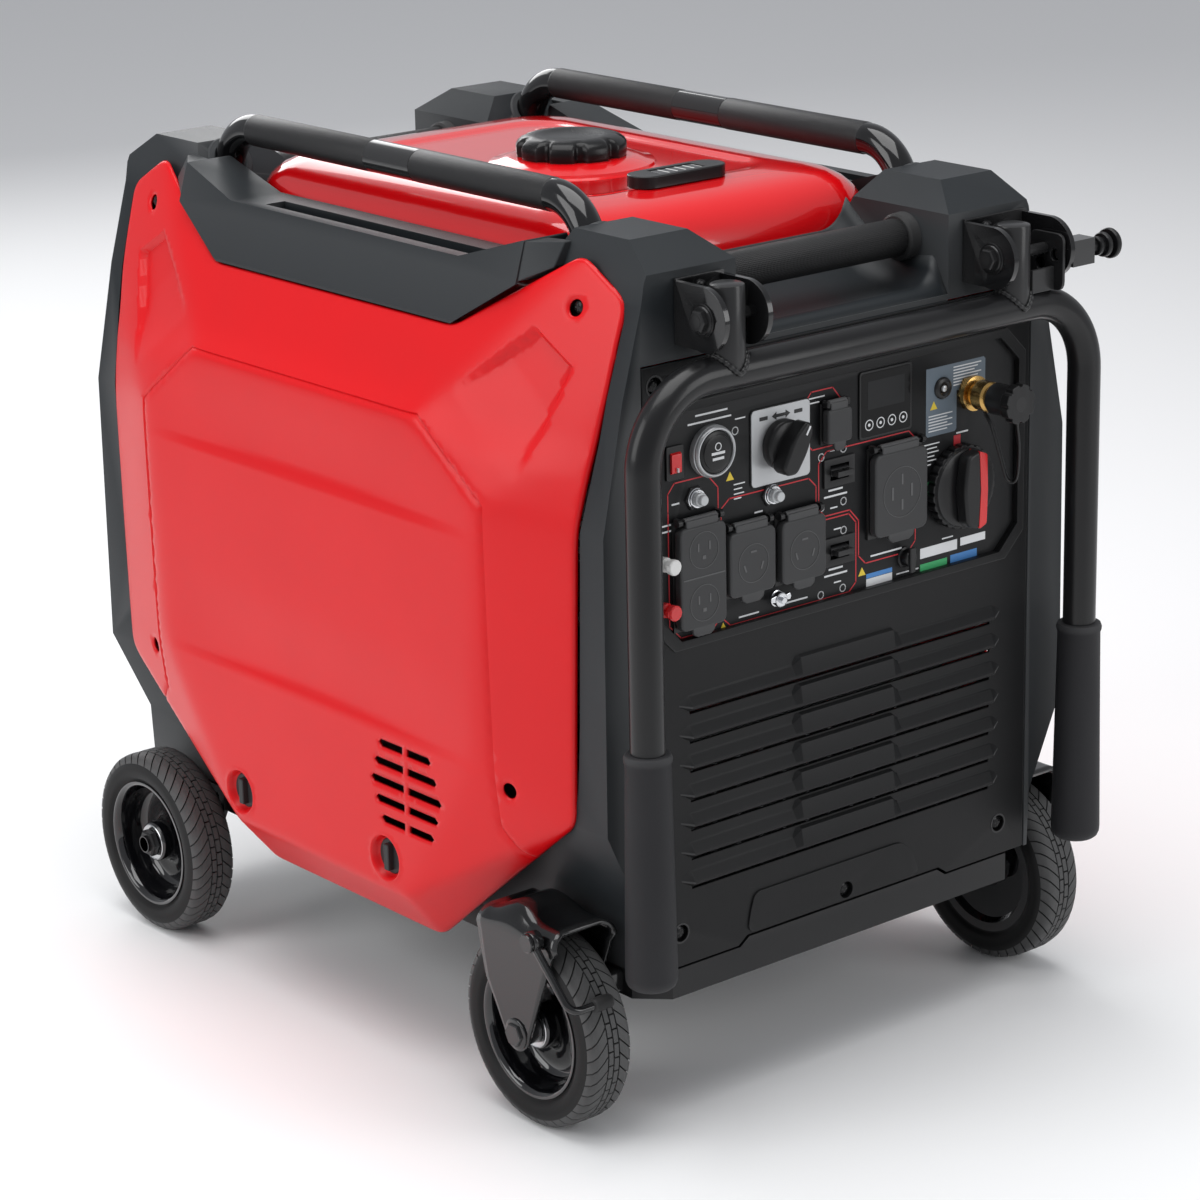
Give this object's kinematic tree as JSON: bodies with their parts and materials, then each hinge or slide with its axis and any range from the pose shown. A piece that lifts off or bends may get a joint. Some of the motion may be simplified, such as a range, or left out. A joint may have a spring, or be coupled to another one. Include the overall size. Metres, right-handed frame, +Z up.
{
  "type": "portable generator",
  "caption": "Wheeled inverter generator in a red and black case, with carry handles, a fold-down push handle, an outlet panel with hinged covers and a fuel tank on top.",
  "frame": {"origin": "on the ground, midway between the four wheels", "axes": "+X to the right of a person facing the control panel, +Y from the control panel to the rear, +Z up"},
  "size_m": [0.6145, 0.802, 0.7743],
  "materials": {
    "tray_steel": "semi-gloss black coated sheet steel",
    "black_plastic": "fine-grained matte black moulded plastic",
    "charcoal_plastic": "fine-grained charcoal moulded plastic",
    "red_plastic": "satin red moulded plastic",
    "panel_print": "satin black printed panel with red outlines",
    "tank_paint": "gloss red paint on pressed steel",
    "handle_coat": "semi-gloss black coated tube with a textured grip",
    "bracket_steel": "gloss black coated steel plate",
    "black_screws": "black coated screws and bolts",
    "panel_fittings": "satin metal and plastic fittings",
    "brass": "satin brass",
    "engine_alloy": "cast alloy",
    "muffler_steel": "heat-stained steel",
    "stator_core": "laminated steel",
    "cap_plastic": "gloss black moulded plastic",
    "push_tube": "satin black coated steel tube",
    "grip_rubber": "soft matte rubber",
    "tyre_rubber": "solid tyre rubber with moulded tread",
    "rim_paint": "gloss black pressed steel",
    "brake_wire": "gloss black steel wire",
    "button_plastic": "gloss black button",
    "knob_plastic": "satin black knob",
    "rocker_red": "gloss red rocker",
    "cover_plastic": "satin black moulded cover",
    "clear_cap": "clear-capped button"
  },
  "bodies": {
    "chassis": {"base_tray": "tray_steel", "front_cover": "black_plastic", "rear_cover": "black_plastic", "front_surround": "charcoal_plastic", "rear_surround": "charcoal_plastic", "left_side_panel": "red_plastic", "right_side_panel": "red_plastic", "left_top_rail": "charcoal_plastic", "right_top_rail": "charcoal_plastic", "control_panel": "panel_print", "fuel_tank": "tank_paint", "fuel_gauge": "black_plastic", "left_carry_handle": "handle_coat", "right_carry_handle": "handle_coat", "front_cross_handle": "handle_coat", "rear_cross_handle": "handle_coat", "left_handle_bracket": "bracket_steel", "right_handle_bracket": "bracket_steel", "rear_axles": "bracket_steel", "left_wheel_fork": "bracket_steel", "right_wheel_fork": "bracket_steel", "fasteners": "black_screws", "receptacles": "black_plastic", "breaker_bodies": "black_plastic", "panel_fittings": "panel_fittings", "gas_inlet": "brass", "engine_block": "engine_alloy", "muffler": "muffler_steel", "alternator_stator": "stator_core", "inverter_unit": "engine_alloy", "battery": "black_plastic"},
    "rotor": {"rotor": "stator_core"},
    "cap_insert": {"fuel_cap_insert": "black_plastic"},
    "cap": {"fuel_cap": "cap_plastic"},
    "push_handle": {"push_handle": "push_tube", "push_handle_grips": "grip_rubber"},
    "lock_pin": {"lock_pin": "black_plastic"},
    "front_left_wheel": {"front_left_tyre": "tyre_rubber", "front_left_rim": "rim_paint"},
    "front_right_wheel": {"front_right_tyre": "tyre_rubber", "front_right_rim": "rim_paint"},
    "rear_left_wheel": {"rear_left_tyre": "tyre_rubber", "rear_left_rim": "rim_paint"},
    "rear_right_wheel": {"rear_right_tyre": "tyre_rubber", "rear_right_rim": "rim_paint"},
    "brake_lever": {"brake_lever": "brake_wire"},
    "start_button": {"start_button": "button_plastic"},
    "selector_knob": {"selector_knob": "knob_plastic"},
    "fuel_knob": {"fuel_knob": "knob_plastic"},
    "rocker_switch": {"rocker_switch": "rocker_red"},
    "upper_breaker_toggle": {"upper_breaker_toggle": "knob_plastic"},
    "lower_breaker_toggle": {"lower_breaker_toggle": "knob_plastic"},
    "duplex_cover": {"duplex_cover": "cover_plastic"},
    "left_locking_cover": {"left_locking_cover": "cover_plastic"},
    "right_locking_cover": {"right_locking_cover": "cover_plastic"},
    "range_cover": {"range_cover": "cover_plastic"},
    "usb_cover": {"usb_cover": "cover_plastic"},
    "gas_cap": {"gas_cap": "cap_plastic"},
    "left_reset_button": {"left_reset_button": "clear_cap"},
    "right_reset_button": {"right_reset_button": "clear_cap"}
  },
  "joints": [
    {"name": "crankshaft_spin", "type": "hinge", "parent": "chassis", "child": "rotor", "pos_m": [0, 0, 0.252], "axis": [0, 1, 0], "continuous": true},
    {"name": "fuel_cap_lift", "type": "slide", "parent": "chassis", "child": "cap_insert", "axis": [0, 0, 1], "range_m": [0, 0.04]},
    {"name": "fuel_cap_turn", "type": "hinge", "parent": "cap_insert", "child": "cap", "pos_m": [0, -0.02, 0.746], "axis": [0, 0, 1], "range_deg": [0, 90]},
    {"name": "push_handle_fold", "type": "hinge", "parent": "chassis", "child": "push_handle", "pos_m": [0, -0.402, 0.689], "axis": [-1, 0, 0], "range_deg": [0, 90]},
    {"name": "lock_pin_slide", "type": "slide", "parent": "chassis", "child": "lock_pin", "axis": [1, 0, 0], "range_m": [-0.008, 0.004]},
    {"name": "front_left_wheel_spin", "type": "hinge", "parent": "chassis", "child": "front_left_wheel", "pos_m": [-0.26475, -0.288, 0.086], "axis": [1, 0, 0], "continuous": true},
    {"name": "front_right_wheel_spin", "type": "hinge", "parent": "chassis", "child": "front_right_wheel", "pos_m": [0.26475, -0.288, 0.086], "axis": [1, 0, 0], "continuous": true},
    {"name": "rear_left_wheel_spin", "type": "hinge", "parent": "chassis", "child": "rear_left_wheel", "pos_m": [-0.26475, 0.288, 0.086], "axis": [1, 0, 0], "continuous": true},
    {"name": "rear_right_wheel_spin", "type": "hinge", "parent": "chassis", "child": "rear_right_wheel", "pos_m": [0.26475, 0.288, 0.086], "axis": [1, 0, 0], "continuous": true},
    {"name": "brake_lever_lift", "type": "hinge", "parent": "chassis", "child": "brake_lever", "pos_m": [-0.3045, -0.32, 0.18], "axis": [-1, 0, 0], "range_deg": [0, 10]},
    {"name": "start_button_press", "type": "slide", "parent": "chassis", "child": "start_button", "axis": [0, 1, 0], "range_m": [0, 0.003], "stiffness_N_per_m": 600},
    {"name": "selector_turn", "type": "hinge", "parent": "chassis", "child": "selector_knob", "pos_m": [-0.068, -0.362, 0.562], "axis": [0, 1, 0], "range_deg": [0, 90]},
    {"name": "fuel_select_turn", "type": "hinge", "parent": "chassis", "child": "fuel_knob", "pos_m": [0.135, -0.362, 0.487], "axis": [0, 1, 0], "range_deg": [-90, 90]},
    {"name": "rocker_tilt", "type": "hinge", "parent": "chassis", "child": "rocker_switch", "pos_m": [-0.181, -0.36, 0.567], "axis": [1, 0, 0], "range_deg": [-12, 12]},
    {"name": "upper_breaker_tilt", "type": "hinge", "parent": "chassis", "child": "upper_breaker_toggle", "pos_m": [-0.003, -0.36, 0.526], "axis": [1, 0, 0], "range_deg": [-25, 25]},
    {"name": "lower_breaker_tilt", "type": "hinge", "parent": "chassis", "child": "lower_breaker_toggle", "pos_m": [-0.003, -0.36, 0.458], "axis": [1, 0, 0], "range_deg": [-25, 25]},
    {"name": "duplex_cover_lift", "type": "hinge", "parent": "chassis", "child": "duplex_cover", "pos_m": [-0.16, -0.3677, 0.518], "axis": [-1, 0, 0], "range_deg": [0, 100]},
    {"name": "left_locking_cover_lift", "type": "hinge", "parent": "chassis", "child": "left_locking_cover", "pos_m": [-0.107, -0.3677, 0.5035], "axis": [-1, 0, 0], "range_deg": [0, 100]},
    {"name": "right_locking_cover_lift", "type": "hinge", "parent": "chassis", "child": "right_locking_cover", "pos_m": [-0.0505, -0.3677, 0.502], "axis": [-1, 0, 0], "range_deg": [0, 100]},
    {"name": "range_cover_lift", "type": "hinge", "parent": "chassis", "child": "range_cover", "pos_m": [0.06, -0.3677, 0.538], "axis": [-1, 0, 0], "range_deg": [0, 100]},
    {"name": "usb_cover_lift", "type": "hinge", "parent": "chassis", "child": "usb_cover", "pos_m": [-0.01, -0.3677, 0.5865], "axis": [-1, 0, 0], "range_deg": [0, 100]},
    {"name": "gas_cap_pull", "type": "slide", "parent": "chassis", "child": "gas_cap", "axis": [0, -1, 0], "range_m": [0, 0.03]},
    {"name": "left_reset_press", "type": "slide", "parent": "chassis", "child": "left_reset_button", "axis": [0, 1, 0], "range_m": [0, 0.002], "stiffness_N_per_m": 400},
    {"name": "right_reset_press", "type": "slide", "parent": "chassis", "child": "right_reset_button", "axis": [0, 1, 0], "range_m": [0, 0.002], "stiffness_N_per_m": 400}
  ]
}
